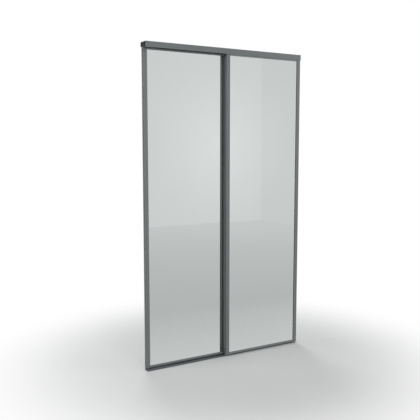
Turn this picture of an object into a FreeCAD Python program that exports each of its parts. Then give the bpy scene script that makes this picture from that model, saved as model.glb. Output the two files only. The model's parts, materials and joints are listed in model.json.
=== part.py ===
"""A two-leaf sliding mirror door set for a closet: double tracks, framed mirrors, bottom rollers.

Millimetres, +Z up. X runs along the opening, -Y is the room side, and Z = 0 is the floor.
The origin is the middle of the opening, under the middle of the top track.
"""
import FreeCAD, Part
import os
from types import SimpleNamespace

import Sketcher

# Driving dimensions in millimetres
SIZES = {
    # Opening and the way the two leaves share it
    "opening_width": 1200.0,
    "opening_height": 2100.0,
    "end_gap": 1.0,
    "leaf_overlap": 28.0,
    # Top track, an E section that opens downwards
    "track_wall": 1.6,
    "track_web": 1.8,
    "fascia_height": 36.0,
    "mid_leg_height": 26.0,
    "rear_leg_height": 30.0,
    "bead_thickness": 2.6,
    "bead_height": 3.0,
    "top_hole_radius": 2.6,
    "top_hole_inset": 100.0,
    # Bottom track, a low sill with two running ribs
    "sill_base": 1.6,
    "sill_lip_height": 4.0,
    "sill_lip_top": 1.2,
    "sill_lip_gap": 2.75,
    "sill_ramp": 2.0,
    "rib_width": 3.0,
    "rib_height": 8.0,
    "rib_flat": 0.2,
    "sill_hole_radius": 2.2,
    "sill_hole_inset": 150.0,
    # Leaf frame sections
    "face_gap": 1.4,
    "stile_width": 27.0,
    "stile_foot_gap": 2.0,
    "stile_head_gap": 29.0,
    "frame_wall": 1.6,
    "face_wall": 2.0,
    "lip_depth": 3.6,
    "lip_wall": 1.6,
    "back_lip_short": 2.0,
    "edge_round": 1.5,
    "corner_round": 0.8,
    "groove_start": 4.0,
    "groove_width": 8.0,
    "groove_depth": 4.0,
    "top_rail_drop": 1.0,
    "top_rail_height": 14.0,
    "top_rail_face": 9.0,
    "bottom_rail_rise": 3.0,
    "bottom_rail_face": 11.0,
    # Mirror, its film and its gasket
    "glass_thickness": 4.0,
    "film_thickness": 0.3,
    "gasket_wall": 1.2,
    "gasket_show": 0.8,
    "gasket_clearance": 0.3,
    "glass_bite": 9.0,
    # Screw ports and frame screws
    "port_radius": 3.6,
    "port_sink": 1.0,
    "screw_radius": 2.1,
    "screw_clearance": 0.05,
    "screw_hole_clearance": 0.5,
    "screw_head_radius": 4.2,
    "screw_head_height": 2.6,
    "screw_bite": 26.0,
    "access_clearance": 0.55,
    # Bottom roller units
    "seat_clearance": 0.15,
    "slide_clearance": 0.3,
    "running_clearance": 0.05,
    "housing_plate": 1.0,
    "housing_cap": 1.2,
    "housing_start": 8.0,
    "housing_past_carrier": 4.0,
    "housing_rise": 1.5,
    "end_plate": 1.5,
    "cheek_plate": 1.4,
    "carrier_past_wheel": 1.5,
    "carrier_rise": 0.5,
    "carrier_roof": 1.6,
    "carrier_travel": 4.0,
    "nose_height": 4.0,
    "wheel_inset": 41.0,
    "wheel_width": 6.2,
    "wheel_root": 10.0,
    "wheel_groove": 1.5,
    "wheel_gap": 0.15,
    "wheel_hub_wall": 2.1,
    "wheel_tread": 3.5,
    "wheel_dish": 1.0,
    "rib_side_gap": 0.7,
    "rib_root_tuck": 0.5,
    "roof_gap": 0.9,
    "axle_radius": 2.5,
    "axle_chamfer": 0.4,
    "axle_short": 0.1,
    "ramp_slope": 0.5,
    "ramp_setback": 2.0,
    "ramp_length": 22.0,
    "wedge_length": 12.0,
    "wedge_cover": 5.0,
    "wedge_gap": 0.1,
    "adjuster_radius": 2.5,
    "adjuster_start": 3.0,
    "adjuster_past_wheel": 6.0,
    "adjuster_collar": 4.2,
    "adjuster_collar_length": 2.0,
    "hex_socket_radius": 1.45,
    "hex_socket_depth": 3.0,
    "fixing_radius": 2.0,
    "fixing_head_radius": 3.5,
    "fixing_head_height": 1.6,
    "fixing_end_gap": 5.0,
    "fixing_drop": 4.0,
    # Top guides
    "guide_inset": 36.0,
    "guide_length": 44.0,
    "guide_lead": 4.0,
    "guide_boss_radius": 7.0,
    "guide_boss_height": 8.7,
    "guide_boss_round": 1.5,
    "guide_roller_gap": 0.3,
    "guide_roller_thickness": 9.0,
    "guide_roller_hub": 6.5,
    "guide_roller_tread": 3.95,
    "guide_roller_dish": 1.6,
    "guide_roller_chamfer": 1.2,
    "guide_pin_wall": 0.75,
    "guide_pin_radius": 2.5,
    "guide_pin_head_radius": 5.5,
    "guide_pin_head_height": 2.4,
    "guide_pin_foot": 2.0,
    "stack_gap": 0.3,
    # Brush seals
    "brush_side_gap": 0.65,
    "brush_base": 0.8,
    "pile_width": 4.0,
    "jamb_pile_stand": 0.6,
    "overlap_pile_gap": 0.7,
    "overlap_brush_inset": 12.5,
    "brush_end_gap": 6.0,
}

LEFT = -1
RIGHT = 1

doc = FreeCAD.newDocument("sliding_mirror_doors")


class Size:
    """A length that carries its number and the sheet expression that gives it."""

    def __init__(self, number, text):
        self.number = number
        self.text = text

    def __add__(self, other):
        other = as_size(other)
        return Size(self.number + other.number, f"({self.text} + {other.text})")

    def __sub__(self, other):
        other = as_size(other)
        return Size(self.number - other.number, f"({self.text} - {other.text})")

    def __mul__(self, other):
        other = as_size(other)
        return Size(self.number * other.number, f"({self.text} * {other.text})")

    def __truediv__(self, other):
        other = as_size(other)
        return Size(self.number / other.number, f"({self.text} / {other.text})")

    def __rmul__(self, other):
        return as_size(other) * self

    def __neg__(self):
        return Size(-self.number, f"(-1 * {self.text})")


def as_size(value):
    """Plain numbers join an expression as they are."""
    if isinstance(value, Size):
        return value
    return Size(float(value), f"({float(value)})")


ZERO = as_size(0)


def fill_sheet():
    """Write the driving dimensions to a sheet and return them as sizes with the same names."""
    sheet = doc.addObject("Spreadsheet::Sheet", "Sizes")
    sizes = SimpleNamespace()
    for row, (name, number) in enumerate(SIZES.items(), start=1):
        sheet.set(f"A{row}", name)
        sheet.set(f"B{row}", str(number))
        sheet.setAlias(f"B{row}", name)
        setattr(sizes, name, Size(number, f"Sizes.{name}"))
    doc.recompute()
    return sizes


d = fill_sheet()


def bind(item, path, size):
    """Tie one property to the sheet."""
    item.setExpression(path, size.text)


def place(item, x=ZERO, y=ZERO, z=ZERO):
    """Put a piece at its place, each coordinate tied to the sheet."""
    item.Placement = FreeCAD.Placement(
        FreeCAD.Vector(x.number, y.number, z.number), FreeCAD.Rotation()
    )
    bind(item, "Placement.Base.x", x)
    bind(item, "Placement.Base.y", y)
    bind(item, "Placement.Base.z", z)


def new_body(label):
    body = doc.addObject("PartDesign::Body", label)
    body.Label = label
    return body


def new_sketch(body, role, offset=ZERO):
    """A sketch on one of the body's origin planes, moved along the plane's normal by offset."""
    sketch = body.newObject("Sketcher::SketchObject", body.Name + "_sketch")
    plane = [feature for feature in body.Origin.OriginFeatures if feature.Role == role][0]
    sketch.AttachmentSupport = [(plane, "")]
    sketch.MapMode = "FlatFace"
    sketch.AttachmentOffset = FreeCAD.Placement(
        FreeCAD.Vector(0, 0, offset.number), FreeCAD.Rotation()
    )
    bind(sketch, "AttachmentOffset.Base.z", offset)
    return sketch


def tie_point(sketch, axis, line, size):
    """Hold the start of a line at a distance from the sketch's origin."""
    index = sketch.addConstraint(Sketcher.Constraint(axis, -1, 1, line, 1, size.number))
    sketch.setExpression(f"Constraints[{index}]", size.text)


def draw_outline(sketch, points):
    """A closed outline of straight lines, level and upright where its points say so."""
    points = [(as_size(across), as_size(up)) for across, up in points]
    vectors = [FreeCAD.Vector(across.number, up.number, 0) for across, up in points]
    first = sketch.GeometryCount
    count = len(points)
    for step in range(count):
        sketch.addGeometry(Part.LineSegment(vectors[step], vectors[(step + 1) % count]), False)
    for step in range(count):
        following = first + (step + 1) % count
        sketch.addConstraint(Sketcher.Constraint("Coincident", first + step, 2, following, 1))
    for step, (across, up) in enumerate(points):
        line = first + step
        before = points[step - 1]
        if step and across.text == before[0].text:
            sketch.addConstraint(Sketcher.Constraint("Vertical", line - 1))
        else:
            tie_point(sketch, "DistanceX", line, across)
        if step and up.text == before[1].text:
            sketch.addConstraint(Sketcher.Constraint("Horizontal", line - 1))
        else:
            tie_point(sketch, "DistanceY", line, up)


def draw_circle(sketch, across, up, radius):
    """A circle whose centre and radius are tied to the sheet."""
    across = as_size(across)
    up = as_size(up)
    centre = FreeCAD.Vector(across.number, up.number, 0)
    circle = sketch.addGeometry(Part.Circle(centre, FreeCAD.Vector(0, 0, 1), radius.number), False)
    ties = (("DistanceX", across), ("DistanceY", up))
    for axis, size in ties:
        index = sketch.addConstraint(Sketcher.Constraint(axis, -1, 1, circle, 3, size.number))
        sketch.setExpression(f"Constraints[{index}]", size.text)
    index = sketch.addConstraint(Sketcher.Constraint("Radius", circle, radius.number))
    sketch.setExpression(f"Constraints[{index}]", radius.text)


def box_points(left, right, low, high):
    return [(left, low), (right, low), (right, high), (left, high)]


def add_feature(body, kind, sketch):
    feature = body.newObject("PartDesign::" + kind, body.Name + "_" + kind.lower())
    feature.Profile = sketch
    return feature


def pad(body, sketch, length, both_ways=False):
    """Extrude a sketch along its normal, or half each way."""
    feature = add_feature(body, "Pad", sketch)
    feature.Length = length.number
    bind(feature, "Length", length)
    if both_ways:
        feature.SideType = "Symmetric"
    doc.recompute()
    return feature


def cut(body, sketch, length=None, toward_normal=False):
    """Cut a sketch out of the body, to a depth or right through both ways."""
    volume = body.Shape.Volume
    feature = add_feature(body, "Pocket", sketch)
    if length is None:
        feature.Type = "ThroughAll"
        feature.SideType = "Symmetric"
    else:
        feature.Length = length.number
        bind(feature, "Length", length)
        feature.Reversed = toward_normal
    doc.recompute()
    if not body.Shape.Volume < volume:
        raise RuntimeError(f"{feature.Name} cuts nothing from {body.Label}")
    return feature


def cut_slab(body, sketch, length):
    """Cut a sketch out of the body, half the length each way."""
    volume = body.Shape.Volume
    feature = add_feature(body, "Pocket", sketch)
    feature.SideType = "Symmetric"
    feature.Length = length.number
    bind(feature, "Length", length)
    doc.recompute()
    if not body.Shape.Volume < volume:
        raise RuntimeError(f"{feature.Name} cuts nothing from {body.Label}")
    return feature


def round_edges(body, radius, chosen):
    """Fillet the edges whose middle point the test chooses."""
    base = body.Tip
    names = []
    for number, edge in enumerate(base.Shape.Edges, start=1):
        middle = edge.valueAt((edge.FirstParameter + edge.LastParameter) / 2)
        if chosen(middle):
            names.append(f"Edge{number}")
    if not names:
        raise RuntimeError(f"no edge to round on {body.Label}")
    feature = body.newObject("PartDesign::Fillet", body.Name + "_fillet")
    feature.Base = (base, names)
    feature.Radius = radius.number
    bind(feature, "Radius", radius)
    doc.recompute()
    return feature


def near(value, size):
    tolerance = 1e-4
    return abs(value - as_size(size).number) < tolerance


def turned(label, role, axis, points):
    """A piece turned about a sketch axis from half of its section."""
    body = new_body(label)
    sketch = new_sketch(body, role)
    draw_outline(sketch, points)
    feature = add_feature(body, "Revolution", sketch)
    feature.ReferenceAxis = (sketch, [axis])
    feature.Angle = 360
    doc.recompute()
    return body


def group(label, members):
    """Several separate solids of one kind under one name."""
    compound = doc.addObject("Part::Compound", label)
    compound.Label = label
    compound.Links = members
    doc.recompute()
    return compound


# Widths across a roller unit, from the wheel out to the cassette
fork_width = d.wheel_width + d.slide_clearance * 2
carrier_width = fork_width + d.cheek_plate * 2
housing_inner = carrier_width + d.slide_clearance * 2
housing_width = housing_inner + d.housing_plate * 2

# Depths within a leaf, counted back from its face
glass_front = d.lip_depth + d.gasket_wall
glass_back = glass_front + d.glass_thickness
film_back = glass_back + d.film_thickness
slot_back = film_back + d.gasket_wall
chamber_front = slot_back + d.frame_wall
chamber_back = chamber_front + housing_width + d.seat_clearance * 2
leaf_depth = chamber_back + d.frame_wall
wheel_depth = (chamber_front + chamber_back) / 2
guide_bore = d.guide_pin_radius + d.screw_clearance
guide_depth = chamber_front + d.seat_clearance + d.guide_pin_wall + guide_bore

# The top track's channels stand so that the guide rollers run in their middle
face_setback = d.bead_thickness + d.face_gap
channel_width = (guide_depth + face_setback - d.track_wall) * 2
track_half = channel_width + d.track_wall * 1.5
leaf_pitch = channel_width + d.track_wall

# Places of the leaves
half_opening = d.opening_width / 2
leaf_width = (d.opening_width - d.end_gap * 2 + d.leaf_overlap) / 2
half_leaf = leaf_width / 2
leaf_shift = half_opening - d.end_gap - half_leaf
front_face = face_setback - track_half
rear_face = front_face + leaf_pitch

# Widths within a stile, counted in from the leaf's edge
slot_floor = d.stile_width - d.glass_bite - d.gasket_wall - d.gasket_clearance
web_inside = slot_floor - d.frame_wall
gasket_outer = slot_floor + d.gasket_clearance
rail_length = (half_leaf - slot_floor) * 2
half_glass = half_leaf - d.stile_width + d.glass_bite
groove_end = d.groove_start + d.groove_width
brush_base_half = d.groove_width / 2 - d.brush_side_gap

# Heights of the frame, of the sight line and of the glass
stile_bottom = d.rib_height + d.stile_foot_gap
stile_top = d.opening_height - d.stile_head_gap
stile_height = stile_top - stile_bottom
top_rail_top = stile_top - d.top_rail_drop
sight_top = top_rail_top - d.top_rail_height
top_face_top = sight_top + d.top_rail_face
rail_bottom = stile_bottom + d.bottom_rail_rise
sight_bottom = rail_bottom + d.bottom_rail_face
slot_low = rail_bottom + d.frame_wall
slot_high = top_face_top - d.frame_wall
gasket_low = slot_low + d.gasket_clearance
gasket_high = slot_high - d.gasket_clearance
glass_low = gasket_low + d.gasket_wall
glass_high = gasket_high - d.gasket_wall
trough_floor = sight_top + d.frame_wall
guide_roller_height = top_rail_top + d.guide_boss_height + d.stack_gap

# Heights of the roller unit and of the bottom rail round it
wheel_flange = d.wheel_root + d.wheel_groove
wheel_height = d.rib_height + d.wheel_gap + d.wheel_root
roof_height = wheel_height + wheel_flange + d.roof_gap + d.carrier_roof
adjuster_height = roof_height + d.carrier_travel + d.slide_clearance + d.adjuster_radius
wedge_top = adjuster_height + d.wedge_cover
housing_top = wedge_top + d.wedge_gap + d.housing_cap
rail_ceiling = housing_top + d.seat_clearance
bottom_rail_top = rail_ceiling + d.frame_wall
port_stand = d.port_radius - d.port_sink
bottom_port_height = bottom_rail_top + port_stand
top_port_height = sight_top - port_stand
fixing_height = housing_top - d.fixing_drop

# Lengths along the roller unit, counted in from the stile's inner web
carrier_end = d.wheel_inset + wheel_flange + d.carrier_past_wheel
housing_end = carrier_end + d.housing_past_carrier
ramp_high = d.wheel_inset - d.ramp_setback
ramp_low = ramp_high - d.ramp_length
ramp_low_height = roof_height - d.ramp_length * d.ramp_slope
fixing_insets = (d.housing_start + d.fixing_end_gap, housing_end - d.fixing_end_gap)


def make_top_track():
    """E section: fascia to the room, middle leg and rear leg, beads on their lower edges."""
    top = d.opening_height
    web = top - d.track_web
    fascia_low = top - d.fascia_height
    mid_low = top - d.mid_leg_height
    rear_low = top - d.rear_leg_height
    mid_face = d.track_wall / 2
    mid_bead = d.bead_thickness / 2
    rear_face_inside = track_half - d.track_wall
    rear_bead = track_half - d.bead_thickness
    fascia_inside = -rear_face_inside
    fascia_bead = -rear_bead
    body = new_body("top_track")
    sketch = new_sketch(body, "YZ_Plane")
    draw_outline(
        sketch,
        [
            (-track_half, top),
            (track_half, top),
            (track_half, rear_low),
            (rear_bead, rear_low),
            (rear_bead, rear_low + d.bead_height),
            (rear_face_inside, rear_low + d.bead_height),
            (rear_face_inside, web),
            (mid_face, web),
            (mid_face, mid_low + d.bead_height),
            (mid_bead, mid_low + d.bead_height),
            (mid_bead, mid_low),
            (-mid_bead, mid_low),
            (-mid_bead, mid_low + d.bead_height),
            (-mid_face, mid_low + d.bead_height),
            (-mid_face, web),
            (fascia_inside, web),
            (fascia_inside, fascia_low + d.bead_height),
            (fascia_bead, fascia_low + d.bead_height),
            (fascia_bead, fascia_low),
            (-track_half, fascia_low),
        ],
    )
    pad(body, sketch, d.opening_width, both_ways=True)
    round_edges(
        body,
        d.corner_round,
        lambda spot: near(spot.y, -track_half) and near(spot.x, 0),
    )
    holes = new_sketch(body, "XY_Plane", top)
    for step in (-1, 0, 1):
        across = (half_opening - d.top_hole_inset) * step
        for side in (-1, 1):
            draw_circle(holes, across, leaf_pitch / 2 * side, d.top_hole_radius)
    cut(body, holes, d.track_web * 2)
    return body


def make_bottom_track():
    """Low sill: a flat base, sloped lips along both edges and a rounded rib under each leaf."""
    rib_inside = leaf_pitch / 2 - d.rib_width / 2
    rib_outside = leaf_pitch / 2 + d.rib_width / 2
    lip_inside = rib_outside + d.sill_lip_gap
    lip_outside = lip_inside + d.sill_lip_top
    half = lip_outside + d.sill_ramp
    body = new_body("bottom_track")
    sketch = new_sketch(body, "YZ_Plane")
    draw_outline(
        sketch,
        [
            (-half, 0),
            (half, 0),
            (lip_outside, d.sill_lip_height),
            (lip_inside, d.sill_lip_height),
            (lip_inside, d.sill_base),
            (rib_outside, d.sill_base),
            (rib_outside, d.rib_height),
            (rib_inside, d.rib_height),
            (rib_inside, d.sill_base),
            (-rib_inside, d.sill_base),
            (-rib_inside, d.rib_height),
            (-rib_outside, d.rib_height),
            (-rib_outside, d.sill_base),
            (-lip_inside, d.sill_base),
            (-lip_inside, d.sill_lip_height),
            (-lip_outside, d.sill_lip_height),
        ],
    )
    pad(body, sketch, d.opening_width, both_ways=True)
    round_edges(
        body,
        (d.rib_width - d.rib_flat) / 2,
        lambda spot: near(spot.z, d.rib_height) and near(spot.x, 0),
    )
    holes = new_sketch(body, "XY_Plane", d.sill_base)
    outer_hole = half_opening - d.sill_hole_inset
    for side in (LEFT, RIGHT):
        for across in (outer_hole, outer_hole / 3):
            draw_circle(holes, side * across, 0, d.sill_hole_radius)
    cut(body, holes, d.sill_base * 2)
    place(body, y=front_face + wheel_depth + leaf_pitch / 2)
    return body


def make_stile(label, side):
    """Hollow upright: a slot behind a folded lip for the glass, a brush groove and screw holes."""

    def across(inset):
        return side * (half_leaf - inset)

    lip_end = d.stile_width - d.back_lip_short
    lip_inside = d.stile_width - d.lip_wall
    groove_back = d.groove_depth + d.frame_wall
    body = new_body(label)
    sketch = new_sketch(body, "XY_Plane")
    outer = [
        (0, 0),
        (d.stile_width, 0),
        (d.stile_width, d.lip_depth),
        (lip_inside, d.lip_depth),
        (lip_inside, d.face_wall),
        (slot_floor, d.face_wall),
        (slot_floor, slot_back),
        (lip_end, slot_back),
        (lip_end, chamber_front),
        (slot_floor, chamber_front),
        (slot_floor, leaf_depth),
        (0, leaf_depth),
        (0, groove_end),
        (d.groove_depth, groove_end),
        (d.groove_depth, d.groove_start),
        (0, d.groove_start),
    ]
    chamber = [
        (groove_back, d.face_wall),
        (web_inside, d.face_wall),
        (web_inside, chamber_back),
        (d.frame_wall, chamber_back),
        (d.frame_wall, groove_end + d.frame_wall),
        (groove_back, groove_end + d.frame_wall),
    ]
    for points in (outer, chamber):
        draw_outline(sketch, [(across(as_size(inset)), depth) for inset, depth in points])
    pad(body, sketch, stile_height)
    outer_edge = across(ZERO)
    inner_edge = across(d.stile_width)
    round_edges(
        body,
        d.edge_round,
        lambda spot: near(spot.x, outer_edge)
        and (near(spot.y, 0) or near(spot.y, leaf_depth))
        and near(spot.z, stile_height / 2),
    )
    round_edges(
        body,
        d.corner_round,
        lambda spot: near(spot.x, inner_edge)
        and near(spot.y, 0)
        and near(spot.z, stile_height / 2),
    )
    # Screw heads go in through the outer web and bear on the inner one; the key passes both
    ports = (bottom_port_height, top_port_height)
    access_radius = d.screw_head_radius + d.access_clearance
    drillings = (
        (ports, access_radius, web_inside),
        (ports, d.screw_radius + d.screw_hole_clearance, slot_floor),
        ((adjuster_height,), access_radius, slot_floor),
    )
    for levels, radius, depth in drillings:
        drilling = new_sketch(body, "YZ_Plane", outer_edge)
        for level in levels:
            draw_circle(drilling, wheel_depth, level - stile_bottom, radius)
        cut(body, drilling, depth, toward_normal=side == LEFT)
    return body


def notch_rail_ends(body, low, high):
    """Cut the rail's front part back to the stiles' lips at both ends."""
    lips = half_leaf - d.stile_width
    ends = new_sketch(body, "XZ_Plane")
    for side in (LEFT, RIGHT):
        draw_outline(ends, box_points(side * lips, side * half_leaf, low, high))
    cut(body, ends, chamber_front + d.seat_clearance)


def add_screw_port(body, height):
    """A round boss along the rail with a hole that takes the frame screws."""
    boss = new_sketch(body, "YZ_Plane")
    draw_circle(boss, wheel_depth, height, d.port_radius)
    pad(body, boss, rail_length, both_ways=True)
    port = new_sketch(body, "YZ_Plane")
    draw_circle(port, wheel_depth, height, d.screw_radius + d.screw_clearance)
    cut(body, port)


def make_top_rail(label):
    """Glazing slot below, open trough for the guides above."""
    body = new_body(label)
    sketch = new_sketch(body, "YZ_Plane")
    draw_outline(
        sketch,
        [
            (0, sight_top),
            (d.lip_depth, sight_top),
            (d.lip_depth, sight_top + d.lip_wall),
            (d.face_wall, sight_top + d.lip_wall),
            (d.face_wall, slot_high),
            (slot_back, slot_high),
            (slot_back, sight_top),
            (leaf_depth, sight_top),
            (leaf_depth, top_rail_top),
            (chamber_back, top_rail_top),
            (chamber_back, trough_floor),
            (chamber_front, trough_floor),
            (chamber_front, top_rail_top),
            (slot_back, top_rail_top),
            (slot_back, top_face_top),
            (0, top_face_top),
        ],
    )
    pad(body, sketch, rail_length, both_ways=True)
    add_screw_port(body, top_port_height)
    notch_rail_ends(body, sight_top, stile_top)
    return body


def make_bottom_rail(label):
    """Glazing slot in front, a tunnel behind it that opens downwards and holds the roller units."""
    body = new_body(label)
    sketch = new_sketch(body, "YZ_Plane")
    draw_outline(
        sketch,
        [
            (0, rail_bottom),
            (chamber_front, rail_bottom),
            (chamber_front, rail_ceiling),
            (chamber_back, rail_ceiling),
            (chamber_back, rail_bottom),
            (leaf_depth, rail_bottom),
            (leaf_depth, bottom_rail_top),
            (slot_back, bottom_rail_top),
            (slot_back, slot_low),
            (d.face_wall, slot_low),
            (d.face_wall, sight_bottom - d.lip_wall),
            (d.lip_depth, sight_bottom - d.lip_wall),
            (d.lip_depth, sight_bottom),
            (0, sight_bottom),
        ],
    )
    pad(body, sketch, rail_length, both_ways=True)
    add_screw_port(body, bottom_port_height)
    notch_rail_ends(body, ZERO, bottom_rail_top)
    fixings = new_sketch(body, "XZ_Plane", -leaf_depth)
    for side in (LEFT, RIGHT):
        for inset in fixing_insets:
            spot = side * (half_leaf - slot_floor - inset)
            draw_circle(fixings, spot, fixing_height, d.fixing_radius + d.screw_clearance)
    cut(body, fixings, d.frame_wall * 2, toward_normal=True)
    return body


def make_pane(label, thickness):
    """A flat pane as large as the glass, with its corner at its own origin."""
    pane = doc.addObject("Part::Box", label)
    pane.Label = label
    sides = (
        ("Length", half_glass * 2),
        ("Width", thickness),
        ("Height", glass_high - glass_low),
    )
    for name, size in sides:
        setattr(pane, name, size.number)
        bind(pane, name, size)
    return pane


def gasket_upright(label, side):
    """U section along a stile, open towards the glass."""
    glass_edge = gasket_outer + d.gasket_wall
    leg_end = d.stile_width + d.gasket_show
    section = [
        (gasket_outer, d.lip_depth),
        (leg_end, d.lip_depth),
        (leg_end, glass_front),
        (glass_edge, glass_front),
        (glass_edge, film_back),
        (leg_end, film_back),
        (leg_end, slot_back),
        (gasket_outer, slot_back),
    ]
    body = new_body(label)
    sketch = new_sketch(body, "XY_Plane", gasket_low)
    draw_outline(sketch, [(side * (half_leaf - inset), depth) for inset, depth in section])
    pad(body, sketch, gasket_high - gasket_low)
    return body


def gasket_level(label, web, glass_edge, leg_end):
    """U section along a rail, between the two uprights."""
    section = [
        (d.lip_depth, web),
        (d.lip_depth, leg_end),
        (glass_front, leg_end),
        (glass_front, glass_edge),
        (film_back, glass_edge),
        (film_back, leg_end),
        (slot_back, leg_end),
        (slot_back, web),
    ]
    length = (half_leaf - d.stile_width - d.gasket_show) * 2
    body = new_body(label)
    sketch = new_sketch(body, "YZ_Plane")
    draw_outline(sketch, section)
    pad(body, sketch, length, both_ways=True)
    return body


def make_frame_screw(label, side):
    """Pan head on the stile's inner web, shank through it into the rail's port."""
    head_end = web_inside - d.screw_head_height
    tip = slot_floor + d.screw_bite
    section = [
        (head_end, 0),
        (tip, 0),
        (tip, d.screw_radius),
        (web_inside, d.screw_radius),
        (web_inside, d.screw_head_radius),
        (head_end, d.screw_head_radius),
    ]
    points = [(side * (half_leaf - inset), radius) for inset, radius in section]
    return turned(label, "XY_Plane", "H_Axis", points)


def make_guide_bracket(label, side):
    """Moulded plug that fills the trough of the top rail, with a boss under the guide roller."""
    near_end = d.guide_inset - d.guide_length / 2
    far_end = d.guide_inset + d.guide_length / 2
    low = chamber_front + d.seat_clearance
    high = chamber_back - d.seat_clearance
    section = [
        (near_end, low),
        (far_end - d.guide_lead, low),
        (far_end, low + d.guide_lead),
        (far_end, high - d.guide_lead),
        (far_end - d.guide_lead, high),
        (near_end, high),
    ]

    def across(inset):
        return side * (half_leaf - slot_floor - inset)

    height = top_rail_top - trough_floor
    body = new_body(label)
    plug = new_sketch(body, "XY_Plane")
    draw_outline(plug, [(across(inset), depth) for inset, depth in section])
    pad(body, plug, height)
    boss = new_sketch(body, "XY_Plane", height)
    draw_circle(boss, across(d.guide_inset), guide_depth, d.guide_boss_radius)
    pad(body, boss, d.guide_boss_height)
    round_edges(
        body,
        d.guide_boss_round,
        lambda spot: near(spot.z, height + d.guide_boss_height),
    )
    bore = new_sketch(body, "XY_Plane")
    draw_circle(bore, across(d.guide_inset), guide_depth, guide_bore)
    cut(body, bore)
    return body


def make_guide_roller(label):
    """Dished nylon roller that turns about an upright pin between the channel walls."""
    bore = d.guide_pin_radius + d.running_clearance
    rim = channel_width / 2 - d.guide_roller_gap
    tread = rim - d.guide_roller_tread
    thick = d.guide_roller_thickness
    dish = d.guide_roller_dish
    chamfer = d.guide_roller_chamfer
    points = [
        (bore, 0),
        (d.guide_roller_hub, 0),
        (d.guide_roller_hub, dish),
        (tread, dish),
        (tread, 0),
        (rim - chamfer, 0),
        (rim, chamfer),
        (rim, thick - chamfer),
        (rim - chamfer, thick),
        (tread, thick),
        (tread, thick - dish),
        (d.guide_roller_hub, thick - dish),
        (d.guide_roller_hub, thick),
        (bore, thick),
    ]
    return turned(label, "XZ_Plane", "V_Axis", points)


def make_guide_pin(label):
    """Headed pin, its foot in the bracket and its head over the roller."""
    foot = trough_floor + d.guide_pin_foot
    seat = guide_roller_height + d.guide_roller_thickness + d.stack_gap
    top = seat + d.guide_pin_head_height
    points = [
        (0, foot),
        (d.guide_pin_radius, foot),
        (d.guide_pin_radius, seat),
        (d.guide_pin_head_radius, seat),
        (d.guide_pin_head_radius, top),
        (0, top),
    ]
    return turned(label, "XZ_Plane", "V_Axis", points)


def make_housing(label, side):
    """Steel cassette in the rail's tunnel: cap, end plate and two sides with slots for the axle."""

    def across(inset):
        return -side * inset

    low = rail_bottom + d.housing_rise
    body = new_body(label)
    block = new_sketch(body, "XZ_Plane")
    draw_outline(block, box_points(across(d.housing_start), across(housing_end), low, housing_top))
    pad(body, block, housing_width, both_ways=True)
    inside = new_sketch(body, "XZ_Plane")
    ceiling = housing_top - d.housing_cap
    draw_outline(
        inside,
        box_points(
            across(d.housing_start + d.end_plate),
            across(housing_end + d.end_plate),
            low - d.housing_cap,
            ceiling,
        ),
    )
    cut_slab(body, inside, housing_inner)
    slot_half = d.axle_radius + d.seat_clearance
    slot_top = wheel_height + d.carrier_travel
    slots = new_sketch(body, "XZ_Plane")
    draw_outline(
        slots,
        box_points(
            across(d.wheel_inset - slot_half),
            across(d.wheel_inset + slot_half),
            low - d.housing_cap,
            slot_top,
        ),
    )
    cut(body, slots)
    slot_ends = new_sketch(body, "XZ_Plane")
    draw_circle(slot_ends, across(d.wheel_inset), slot_top, slot_half)
    cut(body, slot_ends)
    screw_way = new_sketch(body, "YZ_Plane", across(d.housing_start))
    draw_circle(screw_way, 0, adjuster_height, d.adjuster_radius + d.running_clearance)
    cut(body, screw_way, d.end_plate * 2, toward_normal=side == LEFT)
    fixings = new_sketch(body, "XZ_Plane", -housing_width / 2)
    for inset in fixing_insets:
        draw_circle(fixings, across(inset), fixing_height, d.fixing_radius + d.screw_clearance)
    cut(body, fixings, d.housing_plate * 2, toward_normal=True)
    return body


def make_carrier(label, side):
    """Fork over the wheel whose roof runs down as a ramp under the wedge."""

    def across(inset):
        return -side * inset

    low = rail_bottom + d.carrier_rise
    nose = ramp_low_height - d.nose_height
    sole_start = ramp_low + d.ramp_length / 2
    body = new_body(label)
    block = new_sketch(body, "XZ_Plane")
    draw_outline(
        block,
        [
            (across(ramp_low), ramp_low_height),
            (across(ramp_high), roof_height),
            (across(carrier_end), roof_height),
            (across(carrier_end), low),
            (across(sole_start), low),
            (across(ramp_low), nose),
        ],
    )
    pad(body, block, carrier_width, both_ways=True)
    drop = d.carrier_roof
    past = d.carrier_roof
    inside = new_sketch(body, "XZ_Plane")
    draw_outline(
        inside,
        [
            (across(ramp_low - past), ramp_low_height - drop - past * d.ramp_slope),
            (across(ramp_high), roof_height - drop),
            (across(carrier_end + past), roof_height - drop),
            (across(carrier_end + past), low - past),
            (across(ramp_low - past), low - past),
        ],
    )
    cut_slab(body, inside, fork_width)
    bores = new_sketch(body, "XZ_Plane")
    draw_circle(bores, across(d.wheel_inset), wheel_height, d.axle_radius + d.screw_clearance)
    cut(body, bores)
    return body


def make_axle(label):
    """Plain pin with chamfered ends; its ends run in the housing's slots."""
    half = housing_width / 2 - d.axle_short
    bevel = d.axle_chamfer
    points = [
        (0, -half),
        (d.axle_radius - bevel, -half),
        (d.axle_radius, -half + bevel),
        (d.axle_radius, half - bevel),
        (d.axle_radius - bevel, half),
        (0, half),
    ]
    return turned(label, "XY_Plane", "V_Axis", points)


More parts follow.
